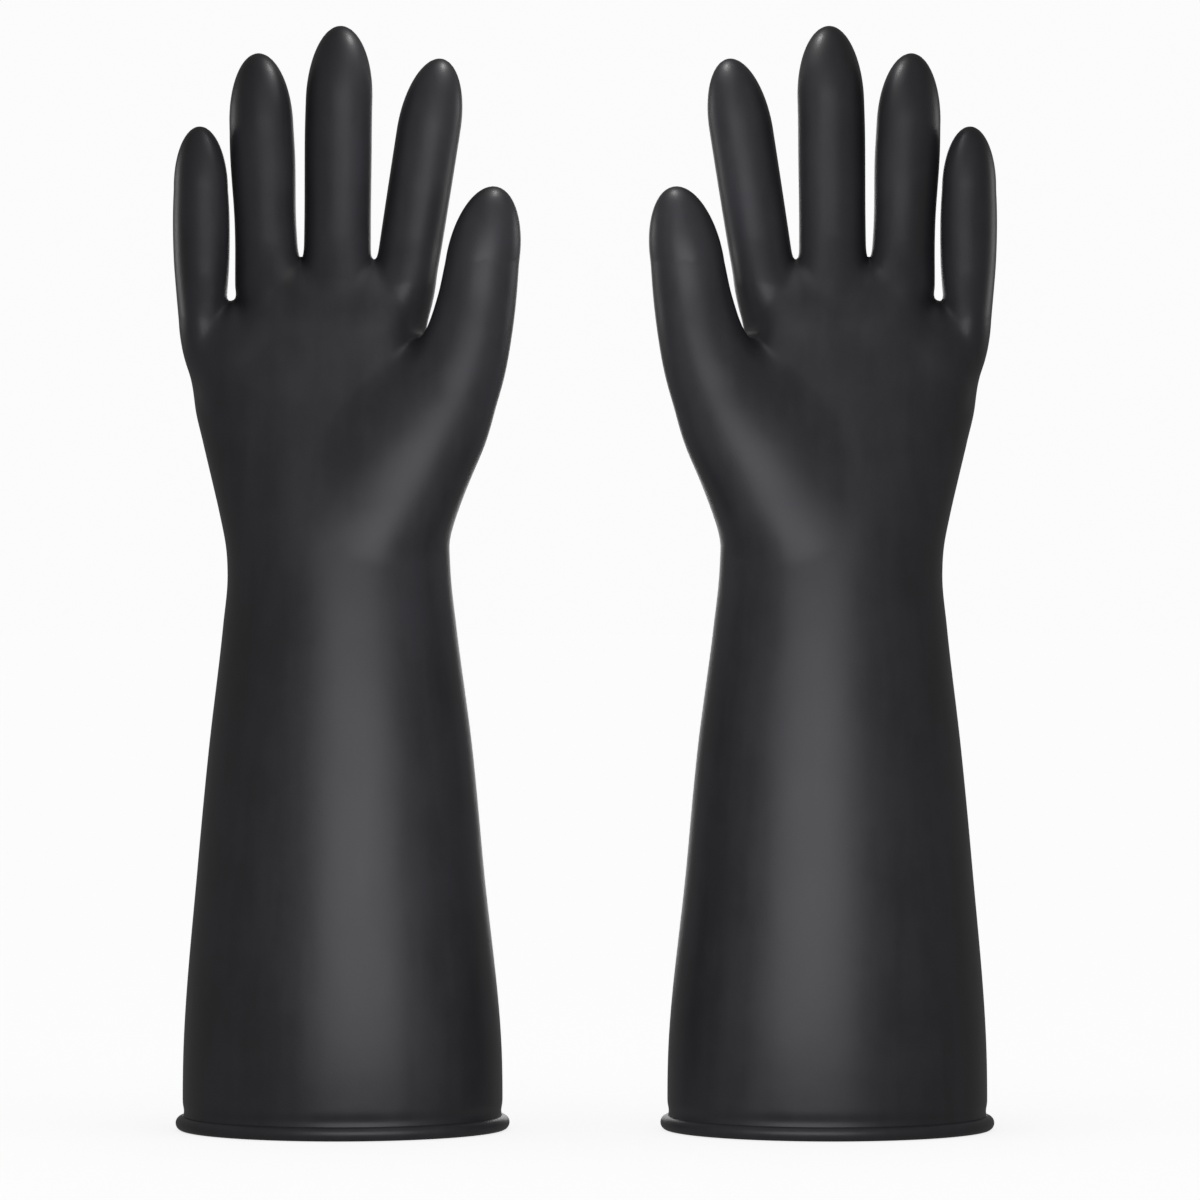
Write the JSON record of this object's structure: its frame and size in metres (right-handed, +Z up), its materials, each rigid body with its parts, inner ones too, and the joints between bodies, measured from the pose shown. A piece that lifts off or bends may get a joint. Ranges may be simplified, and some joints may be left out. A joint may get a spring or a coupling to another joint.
{
  "type": "electrical insulating gloves",
  "caption": "Pair of long moulded rubber insulating gloves with five separate fingers and flared gauntlet cuffs, standing on their rolled cuff beads.",
  "frame": {"origin": "on the floor under the pair, midway between the two cuffs", "axes": "+Z up along the gloves to the fingertips, -Y the palm side, +X from the right-hand glove to the left-hand glove"},
  "size_m": [0.3082, 0.1036, 0.4101],
  "materials": {
    "black_rubber": "satin"
  },
  "bodies": {
    "right_gauntlet": {"right_gauntlet": "black_rubber", "right_cuff_bead": "black_rubber"},
    "right_hand": {"right_hand": "black_rubber"},
    "right_index_lower": {"right_index_lower": "black_rubber"},
    "right_index_upper": {"right_index_upper": "black_rubber"},
    "right_middle_lower": {"right_middle_lower": "black_rubber"},
    "right_middle_upper": {"right_middle_upper": "black_rubber"},
    "right_ring_lower": {"right_ring_lower": "black_rubber"},
    "right_ring_upper": {"right_ring_upper": "black_rubber"},
    "right_little_lower": {"right_little_lower": "black_rubber"},
    "right_little_upper": {"right_little_upper": "black_rubber"},
    "right_thumb": {"right_thumb": "black_rubber"},
    "left_gauntlet": {"left_gauntlet": "black_rubber", "left_cuff_bead": "black_rubber"},
    "left_hand": {"left_hand": "black_rubber"},
    "left_index_lower": {"left_index_lower": "black_rubber"},
    "left_index_upper": {"left_index_upper": "black_rubber"},
    "left_middle_lower": {"left_middle_lower": "black_rubber"},
    "left_middle_upper": {"left_middle_upper": "black_rubber"},
    "left_ring_lower": {"left_ring_lower": "black_rubber"},
    "left_ring_upper": {"left_ring_upper": "black_rubber"},
    "left_little_lower": {"left_little_lower": "black_rubber"},
    "left_little_upper": {"left_little_upper": "black_rubber"},
    "left_thumb": {"left_thumb": "black_rubber"}
  },
  "joints": [
    {"name": "left_glove_slide", "type": "slide", "parent": "right_gauntlet", "child": "left_gauntlet", "axis": [1, 0, 0], "range_m": [-0.04, 0.12]},
    {"name": "right_wrist_bend", "type": "hinge", "parent": "right_gauntlet", "child": "right_hand", "pos_m": [-0.0903, 0, 0.206], "axis": [1, 0, 0], "range_deg": [-30, 30], "stiffness_Nm_per_rad": 3},
    {"name": "right_index_root_flex", "type": "hinge", "parent": "right_hand", "child": "right_index_lower", "pos_m": [-0.0639, 0, 0.336], "axis": [0.9877, 0, -0.1564], "range_deg": [0, 45], "stiffness_Nm_per_rad": 0.25},
    {"name": "right_index_middle_flex", "type": "hinge", "parent": "right_index_lower", "child": "right_index_upper", "pos_m": [-0.05939, -0.00151, 0.3645], "axis": [0.9877, 0, -0.1564], "range_deg": [0, 60], "stiffness_Nm_per_rad": 0.2},
    {"name": "right_middle_root_flex", "type": "hinge", "parent": "right_hand", "child": "right_middle_lower", "pos_m": [-0.0922, 0, 0.337], "axis": [0.9999, 0, -0.0105], "range_deg": [0, 45], "stiffness_Nm_per_rad": 0.25},
    {"name": "right_middle_middle_flex", "type": "hinge", "parent": "right_middle_lower", "child": "right_middle_upper", "pos_m": [-0.09187, -0.00168, 0.369], "axis": [0.9999, 0, -0.0105], "range_deg": [0, 60], "stiffness_Nm_per_rad": 0.2},
    {"name": "right_ring_root_flex", "type": "hinge", "parent": "right_hand", "child": "right_ring_lower", "pos_m": [-0.119, 0, 0.335], "axis": [0.9993, 0, 0.0384], "range_deg": [0, 45], "stiffness_Nm_per_rad": 0.25},
    {"name": "right_ring_middle_flex", "type": "hinge", "parent": "right_ring_lower", "child": "right_ring_upper", "pos_m": [-0.12013, -0.00155, 0.3645], "axis": [0.9993, 0, 0.0384], "range_deg": [0, 60], "stiffness_Nm_per_rad": 0.2},
    {"name": "right_little_root_flex", "type": "hinge", "parent": "right_hand", "child": "right_little_lower", "pos_m": [-0.1429, 0, 0.323], "axis": [1, 0, 0.0052], "range_deg": [0, 45], "stiffness_Nm_per_rad": 0.25},
    {"name": "right_little_middle_flex", "type": "hinge", "parent": "right_little_lower", "child": "right_little_upper", "pos_m": [-0.14301, -0.00113, 0.3445], "axis": [1, 0, 0.0052], "range_deg": [0, 60], "stiffness_Nm_per_rad": 0.2},
    {"name": "right_thumb_flex", "type": "hinge", "parent": "right_hand", "child": "right_thumb", "pos_m": [-0.0403, -0.013, 0.309], "axis": [0.9863, 0, -0.165], "range_deg": [0, 45], "stiffness_Nm_per_rad": 0.3},
    {"name": "left_wrist_bend", "type": "hinge", "parent": "left_gauntlet", "child": "left_hand", "pos_m": [0.0903, 0, 0.206], "axis": [1, 0, 0], "range_deg": [-30, 30], "stiffness_Nm_per_rad": 3},
    {"name": "left_index_root_flex", "type": "hinge", "parent": "left_hand", "child": "left_index_lower", "pos_m": [0.0639, 0, 0.336], "axis": [0.9877, 0, 0.1564], "range_deg": [0, 45], "stiffness_Nm_per_rad": 0.25},
    {"name": "left_index_middle_flex", "type": "hinge", "parent": "left_index_lower", "child": "left_index_upper", "pos_m": [0.05939, -0.00151, 0.3645], "axis": [0.9877, 0, 0.1564], "range_deg": [0, 60], "stiffness_Nm_per_rad": 0.2},
    {"name": "left_middle_root_flex", "type": "hinge", "parent": "left_hand", "child": "left_middle_lower", "pos_m": [0.0922, 0, 0.337], "axis": [0.9999, 0, 0.0105], "range_deg": [0, 45], "stiffness_Nm_per_rad": 0.25},
    {"name": "left_middle_middle_flex", "type": "hinge", "parent": "left_middle_lower", "child": "left_middle_upper", "pos_m": [0.09187, -0.00168, 0.369], "axis": [0.9999, 0, 0.0105], "range_deg": [0, 60], "stiffness_Nm_per_rad": 0.2},
    {"name": "left_ring_root_flex", "type": "hinge", "parent": "left_hand", "child": "left_ring_lower", "pos_m": [0.119, 0, 0.335], "axis": [0.9993, 0, -0.0384], "range_deg": [0, 45], "stiffness_Nm_per_rad": 0.25},
    {"name": "left_ring_middle_flex", "type": "hinge", "parent": "left_ring_lower", "child": "left_ring_upper", "pos_m": [0.12013, -0.00155, 0.3645], "axis": [0.9993, 0, -0.0384], "range_deg": [0, 60], "stiffness_Nm_per_rad": 0.2},
    {"name": "left_little_root_flex", "type": "hinge", "parent": "left_hand", "child": "left_little_lower", "pos_m": [0.1429, 0, 0.323], "axis": [1, 0, -0.0052], "range_deg": [0, 45], "stiffness_Nm_per_rad": 0.25},
    {"name": "left_little_middle_flex", "type": "hinge", "parent": "left_little_lower", "child": "left_little_upper", "pos_m": [0.14301, -0.00113, 0.3445], "axis": [1, 0, -0.0052], "range_deg": [0, 60], "stiffness_Nm_per_rad": 0.2},
    {"name": "left_thumb_flex", "type": "hinge", "parent": "left_hand", "child": "left_thumb", "pos_m": [0.0403, -0.013, 0.309], "axis": [0.9863, 0, 0.165], "range_deg": [0, 45], "stiffness_Nm_per_rad": 0.3}
  ]
}
